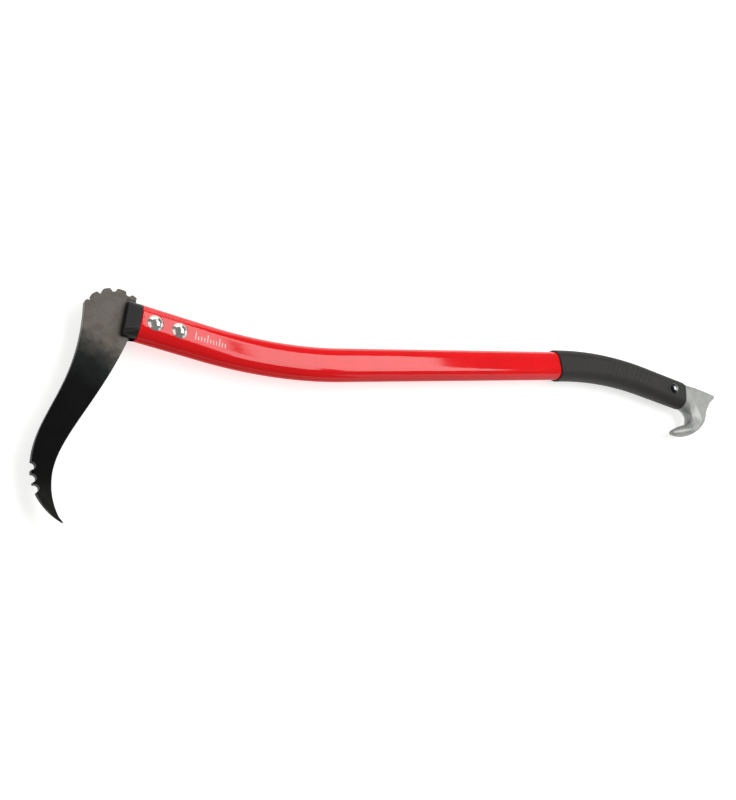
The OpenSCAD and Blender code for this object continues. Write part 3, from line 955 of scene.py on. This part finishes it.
# A plain pale floor
floorLook = {
    "colour": "cbcbc9", "pale": "cececc", "fibreMm": 40, "roughness": 0.9, "specular": 0.1,
    "glow": 0.66, "half": 6.0,                             # its glow keeps the shadows faint
}
floorMaterial, floorTree, floorPlace = startMaterial("palePaperFloor")
fibre = addNode(floorTree, "ShaderNodeTexNoise", {"Scale": perSize(floorLook["fibreMm"]), "Detail": 2},
                {"Vector": floorPlace})
paper = addNode(floorTree, "ShaderNodeValToRGB",
                {"stops": [(0.3, srgb(floorLook["colour"])), (0.7, srgb(floorLook["pale"]))]},
                {"Fac": fibre.outputs[0]})
floorShader = addNode(floorTree, "ShaderNodeBsdfPrincipled",
                      {"Roughness": floorLook["roughness"], "Specular IOR Level": floorLook["specular"],
                       "Emission Color": grey(1), "Emission Strength": floorLook["glow"]},
                      {"Base Color": paper.outputs[0]})
addNode(floorTree, "ShaderNodeOutputMaterial", {}, {"Surface": floorShader.outputs[0]})
h = floorLook["half"]
floorSheet = makePiece("paperFloor", [(-h, -h, 0), (h, -h, 0), (h, h, 0), (-h, h, 0)], [(0, 1, 2, 3)],
                       floorMaterial)

# Plain soft studio light
lightPlan = {                                              # softboxes: place, aim, size, turn and power
    "keyNear": {"at": (0.582, 0.48, 2.0), "aim": (0, 0, -1), "size": (0.34, 2.3), "turn": 0, "power": 10.2},
    "keyHigh": {"at": (0.872, 1.23, 2.0), "aim": (0, 0, -1), "size": (0.24, 0.8), "turn": 0, "power": 2.5},
    "keyLow": {"at": (0.872, -0.04, 2.0), "aim": (0, 0, -1), "size": (0.24, 1.27), "turn": 0, "power": 3.93},
    "keyFar": {"at": (1.4, 0.15, 2.0), "aim": (0, 0, -1), "size": (0.82, 1.7), "turn": 17, "power": 18.2},
    "back": {"at": (-0.1, 2.0, 0.95), "aim": (0, -1, 0), "size": (2.4, 1.6), "turn": 0, "power": 17},
    "front": {"at": (2.05, -1.87, 0.7), "aim": (0, 1, 0), "size": (1.8, 1.2), "turn": 0, "power": 5},
    "left": {"at": (-1.7, -0.1, 0.75), "aim": (1, 0, 0), "size": (1.8, 1.1), "turn": 0, "power": 6},
    "right": {"at": (2.5, -0.3, 0.6), "aim": (-1, 0, 0), "size": (1.9, 1.0), "turn": 0, "power": 8},
}
for name, plan in lightPlan.items():
    lamp = bpy.data.lights.new(name + "Softbox", "AREA")
    lamp.shape = "RECTANGLE"
    lamp.size, lamp.size_y = plan["size"]
    lamp.energy = plan["power"]
    holder = bpy.data.objects.new(name + "Softbox", lamp)
    bpy.context.scene.collection.objects.link(holder)
    facing = Vector(plan["aim"]).to_track_quat("-Z", "Y").to_matrix().to_4x4()
    turn = Matrix.Rotation(math.radians(plan["turn"]), 4, "Z")
    holder.matrix_world = Matrix.Translation(plan["at"]) @ facing @ turn
roomLook = {"value": 1, "strength": 0.26}
world = bpy.data.worlds.new("softRoom")
world.use_nodes = True
bpy.context.scene.world = world
world.node_tree.nodes["Background"].inputs["Color"].default_value = grey(roomLook["value"])
world.node_tree.nodes["Background"].inputs["Strength"].default_value = roomLook["strength"]
bpy.context.scene.view_settings.view_transform = "Standard"
print("stage ready")
